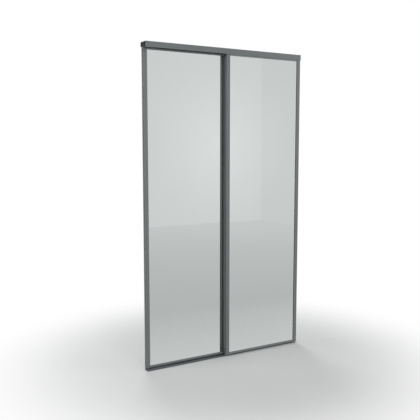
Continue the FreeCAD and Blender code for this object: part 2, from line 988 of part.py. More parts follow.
def make_wheel(label):
    """Nylon wheel with a groove that runs on the rib, dished on both sides."""
    half = d.wheel_width / 2
    bore = d.axle_radius + d.running_clearance
    hub = d.axle_radius + d.wheel_hub_wall
    rim = wheel_flange - d.wheel_tread
    dish = half - d.wheel_dish
    mouth = d.rib_width / 2 + d.rib_side_gap
    root = d.rib_width / 2 - d.rib_root_tuck
    points = [
        (bore, -half),
        (hub, -half),
        (hub, -dish),
        (rim, -dish),
        (rim, -half),
        (wheel_flange, -half),
        (wheel_flange, -mouth),
        (d.wheel_root, -root),
        (d.wheel_root, root),
        (wheel_flange, mouth),
        (wheel_flange, half),
        (rim, half),
        (rim, dish),
        (hub, dish),
        (hub, half),
        (bore, half),
    ]
    return turned(label, "XY_Plane", "V_Axis", points)


def make_wedge(label, side):
    """Block on the adjuster's thread whose sloped sole presses on the carrier's ramp."""

    def across(inset):
        return -side * inset

    thin_end = ramp_high
    thick_end = ramp_high - d.wedge_length
    thin_sole = roof_height + d.wedge_gap
    thick_sole = thin_sole - d.wedge_length * d.ramp_slope
    body = new_body(label)
    block = new_sketch(body, "XZ_Plane")
    draw_outline(
        block,
        [
            (across(thick_end), wedge_top),
            (across(thin_end), wedge_top),
            (across(thin_end), thin_sole),
            (across(thick_end), thick_sole),
        ],
    )
    pad(body, block, carrier_width, both_ways=True)
    bore = new_sketch(body, "YZ_Plane")
    draw_circle(bore, 0, adjuster_height, d.adjuster_radius + d.running_clearance)
    cut(body, bore)
    return body


def make_adjuster(label, side):
    """Screw with a hex socket towards the stile and a collar that bears on the end plate."""
    collar = d.housing_start + d.end_plate + d.slide_clearance
    collar_end = collar + d.adjuster_collar_length
    socket = d.adjuster_start + d.hex_socket_depth
    tip = d.wheel_inset + d.adjuster_past_wheel
    section = [
        (socket, 0),
        (tip, 0),
        (tip, d.adjuster_radius),
        (collar_end, d.adjuster_radius),
        (collar_end, d.adjuster_collar),
        (collar, d.adjuster_collar),
        (collar, d.adjuster_radius),
        (d.adjuster_start, d.adjuster_radius),
        (d.adjuster_start, d.hex_socket_radius),
        (socket, d.hex_socket_radius),
    ]
    points = [(-side * inset, radius) for inset, radius in section]
    return turned(label, "XY_Plane", "H_Axis", points)


def make_roller_fixing(label):
    """Low-headed screw through the rail's back wall into the housing."""
    tip = housing_width / 2 - d.housing_plate
    seat = leaf_depth - wheel_depth
    top = seat + d.fixing_head_height
    points = [
        (0, tip),
        (d.fixing_radius, tip),
        (d.fixing_radius, seat),
        (d.fixing_head_radius, seat),
        (d.fixing_head_radius, top),
        (0, top),
    ]
    return turned(label, "XY_Plane", "V_Axis", points)


def make_jamb_brush(label, side):
    """Pile strip in the stile's groove, its tips just past the stile's edge."""
    middle = d.groove_start + d.groove_width / 2
    pile_half = d.pile_width / 2
    back = d.groove_depth - d.brush_base
    section = [
        (d.groove_depth, middle - brush_base_half),
        (d.groove_depth, middle + brush_base_half),
        (back, middle + brush_base_half),
        (back, middle + pile_half),
        (-d.jamb_pile_stand, middle + pile_half),
        (-d.jamb_pile_stand, middle - pile_half),
        (back, middle - pile_half),
        (back, middle - brush_base_half),
    ]
    body = new_body(label)
    sketch = new_sketch(body, "XY_Plane", stile_bottom + d.brush_end_gap)
    draw_outline(sketch, [(side * (half_leaf - inset), depth) for inset, depth in section])
    pad(body, sketch, stile_height - d.brush_end_gap * 2)
    return body


def make_overlap_brush(label):
    """Pile strip on the back of the front leaf, closing the gap to the rear leaf."""
    pile_half = d.pile_width / 2
    base = leaf_depth + d.brush_base
    tip = leaf_pitch - d.overlap_pile_gap
    middle = d.overlap_brush_inset - half_leaf
    body = new_body(label)
    sketch = new_sketch(body, "XY_Plane", stile_bottom + d.brush_end_gap)
    draw_outline(
        sketch,
        [
            (middle - brush_base_half, leaf_depth),
            (middle + brush_base_half, leaf_depth),
            (middle + brush_base_half, base),
            (middle + pile_half, base),
            (middle + pile_half, tip),
            (middle - pile_half, tip),
            (middle - pile_half, base),
            (middle - brush_base_half, base),
        ],
    )
    pad(body, sketch, stile_height - d.brush_end_gap * 2)
    return body


def make_roller_unit(prefix, side, leaf_x, face):
    """The six pieces of one bottom roller, placed at the stile's inner web."""
    web = leaf_x + side * (half_leaf - slot_floor)
    depth = face + wheel_depth
    housing = make_housing(prefix + "roller_housing", side)
    carrier = make_carrier(prefix + "roller_carrier", side)
    wedge = make_wedge(prefix + "roller_wedge", side)
    for piece in (housing, carrier, wedge):
        place(piece, web, depth)
    adjuster = make_adjuster(prefix + "height_adjuster", side)
    place(adjuster, web, depth, adjuster_height)
    axle = make_axle(prefix + "wheel_axle")
    wheel = make_wheel(prefix + "wheel")
    for piece in (axle, wheel):
        place(piece, web - side * d.wheel_inset, depth, wheel_height)
    return [housing, carrier, wedge, adjuster, axle, wheel]


def make_leaf(prefix, leaf_x, face, jamb_side):
    """Every piece of one leaf, at its place in the opening."""
    sides = ((LEFT, "left_"), (RIGHT, "right_"))
    nodes = []
    for side, word in sides:
        stile = make_stile(prefix + word + "stile", side)
        place(stile, leaf_x, face, stile_bottom)
        nodes.append(stile)
    for rail in (make_top_rail(prefix + "top_rail"), make_bottom_rail(prefix + "bottom_rail")):
        place(rail, leaf_x, face)
        nodes.append(rail)
    panes = (
        ("mirror", glass_front, d.glass_thickness),
        ("mirror_backing", glass_back, d.film_thickness),
    )
    for word, depth, thickness in panes:
        pane = make_pane(prefix + word, thickness)
        place(pane, leaf_x - half_glass, face + depth, glass_low)
        nodes.append(pane)
    strips = [gasket_upright(prefix + word + "gasket_strip", side) for side, word in sides]
    strips.append(
        gasket_level(prefix + "lower_gasket_strip", gasket_low, glass_low, sight_bottom + d.gasket_show)
    )
    strips.append(
        gasket_level(prefix + "upper_gasket_strip", gasket_high, glass_high, sight_top - d.gasket_show)
    )
    for strip in strips:
        place(strip, leaf_x, face)
    nodes.append(group(prefix + "glazing_gasket", strips))
    screws = []
    fixings = []
    pins = []
    for side, word in sides:
        for level in (bottom_port_height, top_port_height):
            screw = make_frame_screw(prefix + word + "frame_screw", side)
            place(screw, leaf_x, face + wheel_depth, level)
            screws.append(screw)
        for inset in fixing_insets:
            fixing = make_roller_fixing(prefix + word + "roller_fixing")
            x = leaf_x + side * (half_leaf - slot_floor - inset)
            place(fixing, x, face + wheel_depth, fixing_height)
            fixings.append(fixing)
        guide_x = leaf_x + side * (half_leaf - slot_floor - d.guide_inset)
        pin = make_guide_pin(prefix + word + "guide_pin")
        place(pin, guide_x, face + guide_depth)
        pins.append(pin)
        bracket = make_guide_bracket(prefix + word + "guide_bracket", side)
        place(bracket, leaf_x, face, trough_floor)
        nodes.append(bracket)
        roller = make_guide_roller(prefix + word + "guide_roller")
        place(roller, guide_x, face + guide_depth, guide_roller_height)
        nodes.append(roller)
        nodes.extend(make_roller_unit(prefix + word, side, leaf_x, face))
    nodes.append(group(prefix + "frame_screws", screws))
    nodes.append(group(prefix + "roller_screws", fixings))
    nodes.append(group(prefix + "guide_pins", pins))
    brush = make_jamb_brush(prefix + "jamb_brush", jamb_side)
    place(brush, leaf_x, face)
    nodes.append(brush)
    return nodes


def make_doors():
    """The tracks, the front leaf on the right and the rear leaf on the left."""
    nodes = [make_top_track(), make_bottom_track()]
    nodes.extend(make_leaf("front_", leaf_shift, front_face, RIGHT))
    nodes.extend(make_leaf("rear_", -leaf_shift, rear_face, LEFT))
    overlap_brush = make_overlap_brush("front_overlap_brush")
    place(overlap_brush, leaf_shift, front_face)
    nodes.append(overlap_brush)
    return nodes


def check(nodes):
    """Stop if any object failed or any piece has no valid shape."""
    doc.recompute()
    for item in doc.Objects:
        if "Invalid" in item.State or "Error" in item.State:
            raise RuntimeError(f"{item.Label} failed: {item.State}")
    for node in nodes:
        if node.Shape.isNull() or not node.Shape.isValid():
            raise RuntimeError(f"{node.Label} has no valid shape")


def export(nodes):
    os.makedirs("parts", exist_ok=True)
    for node in nodes:
        node.Shape.exportStep(f"parts/{node.Label}.step")


doors = make_doors()
check(doors)
export(doors)
print(f"{len(doors)} pieces written")
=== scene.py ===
"""Looks of a two-leaf sliding mirror closet door set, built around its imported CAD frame.

All lengths are in metres.
"""
import json
import math
import random

import bpy
from mathutils import Matrix, Vector


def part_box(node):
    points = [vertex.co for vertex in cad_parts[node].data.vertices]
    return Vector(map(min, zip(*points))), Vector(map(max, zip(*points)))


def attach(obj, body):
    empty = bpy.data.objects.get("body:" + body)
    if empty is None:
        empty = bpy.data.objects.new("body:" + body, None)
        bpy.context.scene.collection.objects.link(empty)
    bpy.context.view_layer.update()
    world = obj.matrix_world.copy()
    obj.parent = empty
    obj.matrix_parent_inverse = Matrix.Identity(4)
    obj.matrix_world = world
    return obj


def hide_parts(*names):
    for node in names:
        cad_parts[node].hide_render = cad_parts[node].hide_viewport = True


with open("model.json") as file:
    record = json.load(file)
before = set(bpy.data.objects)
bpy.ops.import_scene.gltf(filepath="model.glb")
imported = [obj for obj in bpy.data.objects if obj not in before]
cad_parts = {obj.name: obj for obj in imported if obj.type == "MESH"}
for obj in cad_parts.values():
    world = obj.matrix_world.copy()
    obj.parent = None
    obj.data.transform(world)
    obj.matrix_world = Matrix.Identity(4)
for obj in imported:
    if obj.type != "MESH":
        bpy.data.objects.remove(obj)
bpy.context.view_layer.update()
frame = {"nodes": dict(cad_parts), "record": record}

MM = 0.001
FULL_TURN = 2 * math.pi
UP = Vector((0, 0, 1))

# Values of the sRGB curve
SCREEN_WHITE = 255
TOE_END = 0.04045
TOE_SLOPE = 12.92
CURVE_OFFSET = 0.055
CURVE_POWER = 2.4

# Socket numbers of the Mix node when it mixes colours
MIX_FACTOR = 0
MIX_FIRST = 6
MIX_SECOND = 7
MIX_RESULT = 2

# A wave texture of scale 1 goes through this many radians in each metre
WAVE_RADIANS = 20

# Rounded arrises: rays for each, and the normal's cosine on an arris and on a flat
BEVEL_SAMPLES = 6
ARRIS_COSINE = 0.75
FLAT_COSINE = 0.99


def srgb(red, green, blue):
    """Linear colour of an 8 bit screen colour."""
    def linear(value):
        part = value / SCREEN_WHITE
        if part <= TOE_END:
            return part / TOE_SLOPE
        return ((part + CURVE_OFFSET) / (1 + CURVE_OFFSET)) ** CURVE_POWER
    return (linear(red), linear(green), linear(blue), 1.0)


class Finish:
    """One Principled material, with the pattern nodes that feed it."""

    def __init__(self, name, metallic=0.0, specular=0.5):
        self.material = bpy.data.materials.new(name)
        self.material.use_nodes = True
        self.tree = self.material.node_tree
        self.nodes = self.tree.nodes
        self.shader = self.nodes["Principled BSDF"]
        self.shader.inputs["Metallic"].default_value = metallic
        self.shader.inputs["Specular IOR Level"].default_value = specular
        self.coordinates = self.nodes.new("ShaderNodeTexCoord").outputs["Object"]

    def feed(self, source, node, socket):
        """Link an output to a node's socket, given by name or number."""
        self.tree.links.new(source, node.inputs[socket])

    def feed_shader(self, socket, source):
        """Link an output to a socket of the shader."""
        self.feed(source, self.shader, socket)

    def place(self, axis):
        """Place along one axis of the frame."""
        node = self.nodes.new("ShaderNodeSeparateXYZ")
        self.feed(self.coordinates, node, "Vector")
        return node.outputs[axis]

    def distance(self, point):
        """Distance from a point of the frame."""
        node = self.nodes.new("ShaderNodeVectorMath")
        node.operation = "DISTANCE"
        node.inputs[1].default_value = point
        self.feed(self.coordinates, node, 0)
        return node.outputs["Value"]

    def noise(self, scale, detail, distortion=0.0):
        """Noise whose features are 1 / scale long: one scale, or one for each axis."""
        mapping = self.nodes.new("ShaderNodeMapping")
        scales = scale if isinstance(scale, tuple) else (scale, scale, scale)
        mapping.inputs["Scale"].default_value = scales
        self.feed(self.coordinates, mapping, "Vector")
        node = self.nodes.new("ShaderNodeTexNoise")
        node.inputs["Scale"].default_value = 1.0
        node.inputs["Detail"].default_value = detail
        node.inputs["Distortion"].default_value = distortion
        self.feed(mapping.outputs["Vector"], node, "Vector")
        return node.outputs["Fac"]

    def bands(self, axis, period, distortion=0.0):
        """Sine bands of one period across an axis."""
        node = self.nodes.new("ShaderNodeTexWave")
        node.wave_type = "BANDS"
        node.bands_direction = axis
        node.inputs["Scale"].default_value = FULL_TURN / (WAVE_RADIANS * period)
        node.inputs["Distortion"].default_value = distortion
        self.feed(self.coordinates, node, "Vector")
        return node.outputs["Fac"]

    def spread(self, source, low=0.0, high=1.0, start=0.0, end=1.0, course="LINEAR"):
        """The source's span from start to end, taken to low and high."""
        node = self.nodes.new("ShaderNodeMapRange")
        node.interpolation_type = course
        node.inputs["From Min"].default_value = start
        node.inputs["From Max"].default_value = end
        node.inputs["To Min"].default_value = low
        node.inputs["To Max"].default_value = high
        self.feed(source, node, "Value")
        return node.outputs["Result"]

    def combine(self, operation, first, second):
        """A Math node's result from two outputs."""
        node = self.nodes.new("ShaderNodeMath")
        node.operation = operation
        self.feed(first, node, 0)
        self.feed(second, node, 1)
        return node.outputs["Value"]

    def weighed(self, first, second, share):
        """A share of the first output added to the rest of the second."""
        return self.combine("ADD", self.spread(first, high=share), self.spread(second, high=1 - share))

    def ramp(self, source, *stops):
        """Colours at places along the source."""
        node = self.nodes.new("ShaderNodeValToRGB")
        elements = node.color_ramp.elements
        halfway = 0.5
        while len(elements) < len(stops):
            elements.new(halfway)
        for element, (place, colour) in zip(elements, stops):
            element.position = place
            element.color = colour
        self.feed(source, node, "Fac")
        return node.outputs["Color"]

    def mixed(self, factor, first, colour):
        """A colour output that goes over to a plain colour."""
        node = self.nodes.new("ShaderNodeMix")
        node.data_type = "RGBA"
        self.feed(factor, node, MIX_FACTOR)
        self.feed(first, node, MIX_FIRST)
        node.inputs[MIX_SECOND].default_value = colour
        return node.outputs[MIX_RESULT]

    def soft_edge(self, radius):
        """The surface's normal with its arrises rounded."""
        node = self.nodes.new("ShaderNodeBevel")
        node.samples = BEVEL_SAMPLES
        node.inputs["Radius"].default_value = radius
        return node.outputs["Normal"]

    def edge_mask(self, radius):
        """1 on the arrises and 0 on the flats."""
        dot = self.nodes.new("ShaderNodeVectorMath")
        dot.operation = "DOT_PRODUCT"
        geometry = self.nodes.new("ShaderNodeNewGeometry")
        self.feed(self.soft_edge(radius), dot, 0)
        self.feed(geometry.outputs["Normal"], dot, 1)
        return self.spread(dot.outputs["Value"], low=1.0, high=0.0, start=ARRIS_COSINE, end=FLAT_COSINE)

    def bump(self, height, depth, strength=1.0, normal=None):
        """A normal that the height moves by up to a depth, on top of another normal or alone."""
        node = self.nodes.new("ShaderNodeBump")
        node.inputs["Strength"].default_value = strength
        node.inputs["Distance"].default_value = depth
        self.feed(height, node, "Height")
        if normal is not None:
            self.feed(normal, node, "Normal")
        return node.outputs["Normal"]

    def paint(self, source, *stops):
        """Base colour from a ramp along the source."""
        self.feed_shader("Base Color", self.ramp(source, *stops))

    def roughen(self, source, low, high, start=0.0, end=1.0):
        """Roughness from low to high along the source."""
        self.feed_shader("Roughness", self.spread(source, low, high, start, end))

    def relief(self, height, depth, edge_radius):
        """Bump of a depth, on arrises that are rounded."""
        self.feed_shader("Normal", self.bump(height, depth, normal=self.soft_edge(edge_radius)))


# Graphite coat of the extrusions: base, light and worn tone for each. It is one coat: the rails' copy is
# painted lighter as painted light, and the tracks' and the sill's copies darker as painted shade
STILE_GRAPHITE = (srgb(100, 104, 106), srgb(107, 111, 112), srgb(128, 132, 133))
# Painted light: the rails' copy of the coat is lighter, to lift their faces from the shade under the fascia
# and at the foot
LIT_RAIL_GRAPHITE = (srgb(110, 114, 116), srgb(117, 121, 122), srgb(138, 142, 143))
# Painted shade: the tracks' copy of the coat is darker, against the light that the high lamps throw on the
# fascia
SHADED_TRACK_GRAPHITE = (srgb(99, 103, 105), srgb(107, 111, 112), srgb(126, 130, 131))
# Painted shade: the sill's copy of the coat is darker and bluer than the others
SHADED_SILL_GRAPHITE = (srgb(77, 83, 88), srgb(84, 90, 94), srgb(118, 124, 128))
COAT_METALLIC = 0.25
RUBBED_RADIUS = 0.7 * MM
ARRIS_RADIUS = 0.5 * MM
GRAIN_DEPTH = 0.012 * MM
PEEL_DEPTH = 0.010 * MM

# The sill's ribs are worn bright between these heights
RIB_WEAR_START = 6.4 * MM
RIB_WEAR_END = 7.6 * MM
RIB_BRIGHT = srgb(168, 171, 172)


def graphite(name, along, base, light, worn):
    """Satin graphite coat on an extrusion whose grain runs along X or Z."""
    finish = Finish(name, metallic=COAT_METALLIC)
    fine = 1100.0
    slow = 9.0
    grain_scale = (slow, fine, fine) if along == "X" else (fine, fine, slow)
    grain = finish.noise(grain_scale, detail=4.0)
    cloud = finish.noise(scale=5.0, detail=5.0)
    peel = finish.noise(scale=2600.0, detail=2.0)
    tone = finish.weighed(grain, cloud, share=0.45)
    body = finish.ramp(tone, (0.30, base), (0.72, light))
    arris = finish.edge_mask(RUBBED_RADIUS)
    patches = finish.spread(cloud, low=0.15, high=0.85, start=0.3, end=0.7)
    rub = finish.combine("MULTIPLY", arris, patches)
    finish.feed_shader("Base Color", finish.mixed(rub, body, worn))
    finish.roughen(tone, low=0.27, high=0.40, start=0.25, end=0.75)
    rolled = finish.bump(grain, GRAIN_DEPTH, normal=finish.soft_edge(ARRIS_RADIUS))
    finish.feed_shader("Normal", finish.bump(peel, PEEL_DEPTH, normal=rolled))
    return finish


def sill_finish():
    """Graphite coat of the bottom track, painted darker and bluer as painted shade, and worn bright on top
    of its running ribs.
    """
    finish = graphite("shaded_graphite_sill_finish", "X", *SHADED_SILL_GRAPHITE)
    height = finish.place("Z")
    streak = finish.noise(scale=(14.0, 900.0, 900.0), detail=4.0)
    rib_top = finish.spread(height, start=RIB_WEAR_START, end=RIB_WEAR_END)
    streaks = finish.spread(streak, low=0.35, high=1.0, start=0.3, end=0.6)
    polished = finish.combine("MULTIPLY", rib_top, streaks)
    coat = finish.shader.inputs["Base Color"].links[0].from_socket
    finish.feed_shader("Base Color", finish.mixed(polished, coat, RIB_BRIGHT))
    finish.feed_shader("Metallic", finish.spread(polished, low=COAT_METALLIC))
    return finish


def mirror_finish():
    """Silvered glass with a faint haze that no polish quite takes off."""
    clear = srgb(216, 220, 219)
    hazed = srgb(218, 222, 221)
    finish = Finish("silvered_glass_finish", metallic=1.0)
    haze = finish.noise(scale=(7.0, 7.0, 3.0), detail=6.0, distortion=0.6)
    wipe = finish.noise(scale=(60.0, 60.0, 8.0), detail=3.0)
    cover = finish.combine("MULTIPLY", haze, wipe)
    finish.roughen(cover, low=0.006, high=0.030, start=0.1, end=0.5)
    finish.paint(cover, (0.05, clear), (0.6, hazed))
    return finish


def film_finish():
    """Woven safety film bonded to the back of the glass, lapped at its joins, with faint creases and
    painted shade in the hollows of its weave.
    """
    shaded = srgb(164, 171, 175)
    pale = srgb(197, 202, 204)
    lapped_pale = srgb(209, 213, 214)
    tape = 5.0 * MM
    tape_wander = 0.15
    lap_spacing = 0.29
    lap_edge = 0.9968
    lap_full = 0.9982
    finish = Finish("safety_film_finish")
    warp = finish.bands("X", tape, tape_wander)
    weft = finish.bands("Z", tape, tape_wander)
    weave = finish.combine("MAXIMUM", warp, weft)
    thread = finish.noise(scale=(2400.0, 2400.0, 300.0), detail=2.0)
    crease = finish.noise(scale=(18.0, 18.0, 4.0), detail=5.0, distortion=1.2)
    cloud = finish.noise(scale=(3.0, 3.0, 2.0), detail=4.0)
    lap = finish.spread(finish.bands("X", lap_spacing), start=lap_edge, end=lap_full)
    tone = finish.weighed(weave, cloud, share=0.5)
    # Painted shade: the weave is darker in the hollows between the tapes than on their crests
    cloth = finish.ramp(tone, (0.2, shaded), (0.85, pale))
    finish.feed_shader("Base Color", finish.mixed(lap, cloth, lapped_pale))
    finish.roughen(weave, low=0.46, high=0.30)
    woven = finish.bump(weave, depth=0.10 * MM)
    fibrous = finish.bump(thread, depth=0.02 * MM, normal=woven)
    lapped = finish.bump(lap, depth=0.25 * MM, normal=fibrous)
    creased = finish.bump(crease, depth=0.35 * MM, strength=0.6, normal=lapped)
    finish.feed_shader("Normal", creased)
    return finish


def rubber_finish():
    """Black gasket rubber with a grey bloom."""
    black = srgb(26, 27, 27)
    bloomed = srgb(47, 48, 47)
    finish = Finish("gasket_finish", specular=0.35)
    bloom = finish.noise(scale=(40.0, 40.0, 12.0), detail=5.0)
    pore = finish.noise(scale=1800.0, detail=2.0)
    finish.paint(bloom, (0.3, black), (0.8, bloomed))
    finish.roughen(bloom, low=0.52, high=0.74)
    finish.relief(pore, depth=0.03 * MM, edge_radius=0.3 * MM)
    return finish


def zinc_finish():
    """Zinc plated steel, spangled and faintly scuffed."""
    dull = srgb(168, 173, 179)
    bright = srgb(205, 207, 206)
    finish = Finish("zinc_steel_finish", metallic=1.0)
    spangle = finish.noise(scale=320.0, detail=4.0, distortion=0.8)
    scuff = finish.noise(scale=(2200.0, 400.0, 2200.0), detail=2.0)
    finish.paint(spangle, (0.3, dull), (0.75, bright))
    finish.roughen(spangle, low=0.22, high=0.42, start=0.3, end=0.7)
    finish.relief(scuff, depth=0.008 * MM, edge_radius=0.25 * MM)
    return finish


def brass_finish():
    """Turned brass, tarnished in places."""
    tarnished = srgb(168, 133, 74)
    bright = srgb(214, 183, 113)
    finish = Finish("brass_finish", metallic=1.0)
    tarnish = finish.noise(scale=180.0, detail=5.0, distortion=0.5)
    turning = finish.noise(scale=(3000.0, 300.0, 300.0), detail=2.0)
    finish.paint(tarnish, (0.3, tarnished), (0.7, bright))
    finish.roughen(tarnish, low=0.38, high=0.20, start=0.3, end=0.7)
    finish.relief(turning, depth=0.008 * MM, edge_radius=0.25 * MM)
    return finish


def nylon_finish(name, dark, light, smooth, rough):
    """Moulded nylon with a fine spark-eroded skin and slow flow marks."""
    finish = Finish(name)
    flow = finish.noise(scale=60.0, detail=4.0, distortion=1.0)
    skin = finish.noise(scale=2600.0, detail=3.0)
    finish.paint(flow, (0.3, dark), (0.75, light))
    finish.roughen(skin, smooth, rough, start=0.3, end=0.7)
    finish.relief(skin, depth=0.02 * MM, edge_radius=0.4 * MM)
    return finish


def pile_finish():
    """Grey polypropylene fibres, paler at some tufts than at others."""
    dark = srgb(84, 87, 88)
    pale = srgb(124, 126, 125)
    finish = Finish("brush_pile_finish", specular=0.3)
    finish.shader.inputs["Sheen Weight"].default_value = 0.25
    finish.shader.inputs["Sheen Roughness"].default_value = 0.5
    tuft = finish.noise(scale=500.0, detail=2.0)
    fibre = finish.noise(scale=5200.0, detail=2.0)
    finish.paint(tuft, (0.3, dark), (0.7, pale))
    finish.roughen(fibre, low=0.65, high=0.88)
    finish.feed_shader("Normal", finish.bump(fibre, depth=0.05 * MM))
    return finish


# Finishes, one for each record slot; the frames' slot has the rails' finish, and the stiles have their own
WHITE_NYLON = (srgb(214, 211, 200), srgb(230, 228, 220))
BLACK_NYLON = (srgb(33, 34, 36), srgb(46, 47, 49))
stile_finish = graphite("graphite_stile_finish", "Z", *STILE_GRAPHITE)
SLOT_FINISHES = {
    "graphite_track": graphite("shaded_graphite_track_finish", "X", *SHADED_TRACK_GRAPHITE),
    "graphite_sill": sill_finish(),
    "graphite_frame": graphite("lit_graphite_rail_finish", "X", *LIT_RAIL_GRAPHITE),
    "silvered_glass": mirror_finish(),
    "safety_film": film_finish(),
    "gasket": rubber_finish(),
    "zinc_steel": zinc_finish(),
    "brass": brass_finish(),
    "nylon_white": nylon_finish("nylon_white_finish", *WHITE_NYLON, smooth=0.34, rough=0.48),
    "nylon_black": nylon_finish("nylon_black_finish", *BLACK_NYLON, smooth=0.40, rough=0.54),
    "brush_pile": pile_finish(),
}

# CAD nodes keep their shape and take the finish of their slot
slot_of = {subpart["node"]: subpart["material_slot"] for subpart in frame["record"]["subparts"]}
for node_name, node_object in frame["nodes"].items():
    node_finish = stile_finish if node_name.endswith("_stile") else SLOT_FINISHES[slot_of[node_name]]
    for material_slot in node_object.material_slots:
        material_slot.material = node_finish.material


# Meshes of the pieces that replace CAD nodes
SMOOTH_ANGLE = math.radians(35)


class Shell:
    """Points and faces of one piece, gathered from its solids."""

    def __init__(self):
        self.points = []
        self.faces = []
        self.face_finish = []

    def add(self, points, faces, finish_index=0):
        """Take in one solid. Its faces count its own points from 0."""
        first = len(self.points)
        self.points.extend(tuple(point) for point in points)
        self.faces.extend(tuple(first + index for index in face) for face in faces)
        self.face_finish.extend([finish_index] * len(faces))

    def piece(self, name, finishes, body, node):
        """Make the object, put it on its body and let it stand for its node."""
        mesh = bpy.data.meshes.new(name)
        mesh.from_pydata(self.points, [], self.faces)
        mesh.update()
        for finish in finishes:
            mesh.materials.append(finish.material)
        mesh.polygons.foreach_set("material_index", self.face_finish)
        mesh.polygons.foreach_set("use_smooth", [True] * len(mesh.polygons))
        mesh.set_sharp_from_angle(angle=SMOOTH_ANGLE)
        made = bpy.data.objects.new(name, mesh)
        bpy.context.scene.collection.objects.link(made)
        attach(made, body)
        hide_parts(node)


# Turned solids: corners of a ring, sides of a hexagon socket, and the least width that is divided by
SIDES = 24
HEXAGON_SIDES = 6
LEAST = 1e-9

# Pan head from the rim of its top to its seat, in shares of its height and radius
PAN_OUTLINE = ((0.0, 0.72), (0.098, 0.90), (0.28, 0.985), (0.55, 1.0), (0.96, 1.0), (1.0, 0.97))

# Cross recess from its floor upwards, in shares of its depth and arms, and its mouth in the head's height
RECESS_OUTLINE = ((1.0, 0.45), (0.35, 0.86))
RECESS_MOUTH = 0.02

# Tapping thread: its root in shares of the crest, its point in shares of the root, and its ends
TAPPING_ROOT = 0.74
TAPPING_POINT = 0.45
TAPPING_START = 0.15 * MM
TAPPING_POINT_LENGTH = 0.8 * MM
TAPPING_STEPS = 6

# Frame screws through the stiles' webs, into the rails' ports
FRAME_HEAD = 4.2 * MM
FRAME_HEAD_HEIGHT = 2.6 * MM
FRAME_CREST = 2.1 * MM
FRAME_PITCH = 1.8 * MM
FRAME_ARM = 2.3 * MM
FRAME_RECESS = 1.7 * MM
FRAME_LENGTH = 30.2 * MM

# Roller fixing screws in the backs of the bottom rails
ROLLER_HEAD = 3.5 * MM
ROLLER_HEAD_HEIGHT = 1.6 * MM
ROLLER_CREST = 2.0 * MM
ROLLER_PITCH = 0.9 * MM
ROLLER_ARM = 1.9 * MM
ROLLER_RECESS = 1.1 * MM
ROLLER_SPACING = 40.0 * MM

# Height adjusters behind the access ports of the stiles
ADJUSTER_SHANK = 2.5 * MM
ADJUSTER_NECK = 0.86 * ADJUSTER_SHANK
ADJUSTER_ROOT = 0.82 * ADJUSTER_SHANK
ADJUSTER_TIP = 0.72 * ADJUSTER_SHANK
ADJUSTER_CHAMFER = 0.4 * MM
ADJUSTER_PITCH = 0.8 * MM
ADJUSTER_STEPS = 5
COLLAR_RADIUS = 4.2 * MM
COLLAR_START = 6.8 * MM
COLLAR_END = 8.8 * MM
SOCKET_FLAT = 1.3 * MM
SOCKET_FLOOR_FLAT = 0.96 * SOCKET_FLAT
SOCKET_MOUTH_RADIUS = 1.22 * SOCKET_FLAT
SOCKET_LIP = 0.25 * MM
SOCKET_DEPTH = 3.0 * MM
SOCKET_POINT = SOCKET_DEPTH + 0.5 * SOCKET_FLAT


def turned_solid(shell, rings, place, tip_axis):
    """A closed solid of rings along an axis.

    A ring is a distance and a radius, or a distance and a function that gives the radius at each angle.
    """
    turn = UP.rotation_difference(Vector(tip_axis)).to_matrix().to_4x4()
    stand = Matrix.Translation(place) @ turn
    points = [stand @ Vector((0, 0, rings[0][0]))]
    for along, radius in rings[1:-1]:
        for side in range(SIDES):
            angle = FULL_TURN * side / SIDES
            reach = radius(angle) if callable(radius) else radius
            points.append(stand @ Vector((reach * math.cos(angle), reach * math.sin(angle), along)))
    points.append(stand @ Vector((0, 0, rings[-1][0])))
    last = len(points) - 1
    top = last - SIDES
    faces = []
    for side in range(SIDES):
        after = (side + 1) % SIDES
        faces.append((0, 1 + after, 1 + side))
        for low in range(1, top, SIDES):
            high = low + SIDES
            faces.append((low + side, low + after, high + after, high + side))
        faces.append((top + side, top + after, last))
    shell.add(points, faces)


def cross_radius(arm):
    """Outline of a cross recess; its arms are as wide as the 15 degree steps make them."""
    half = arm * math.tan(FULL_TURN / SIDES)

    def reach(angle):
        across = max(abs(math.cos(angle)), abs(math.sin(angle)))
        beside = max(min(abs(math.cos(angle)), abs(math.sin(angle))), LEAST)
        return min(arm / across, half / beside)
    return reach


def hex_radius(flat):
    """Outline of a hexagon with that half width across its flats."""
    side_angle = FULL_TURN / HEXAGON_SIDES

    def reach(angle):
        return flat / math.cos(angle % side_angle - side_angle / 2)
    return reach


def thread_rings(start, end, root, crest, pitch, steps):
    """Rings of a thread from start to end, whose height follows a helix."""
    rings = []
    count = int(round((end - start) / pitch * steps))
    for index in range(count + 1):
        along = start + (end - start) * index / count
        fade = min(1.0, index / steps, (count - index) / steps)

        def radius(angle, along=along, fade=fade):
            phase = (along / pitch - angle / FULL_TURN) % 1.0
            return root + (crest - root) * fade * (1 - abs(2 * phase - 1))
        rings.append((along, radius))
    return rings


def pan_screw_rings(head_radius, head_height, crest, length, pitch, arm, recess):
    """Pan head with a cross recess, then a tapping thread with a blunt point. The head's top is at 0."""
    root = TAPPING_ROOT * crest
    rings = [(recess, 0.0)]
    for depth, width in RECESS_OUTLINE:
        rings.append((depth * recess, cross_radius(width * arm)))
    rings.append((RECESS_MOUTH * head_height, cross_radius(arm)))
    for depth, width in PAN_OUTLINE:
        rings.append((depth * head_height, width * head_radius))
    rings.append((head_height, crest))
    thread_start = head_height + TAPPING_START
    thread_end = length - TAPPING_POINT_LENGTH
    rings.extend(thread_rings(thread_start, thread_end, root, crest, pitch, TAPPING_STEPS))
    rings.append((length, TAPPING_POINT * root))
    rings.append((length, 0.0))
    return rings


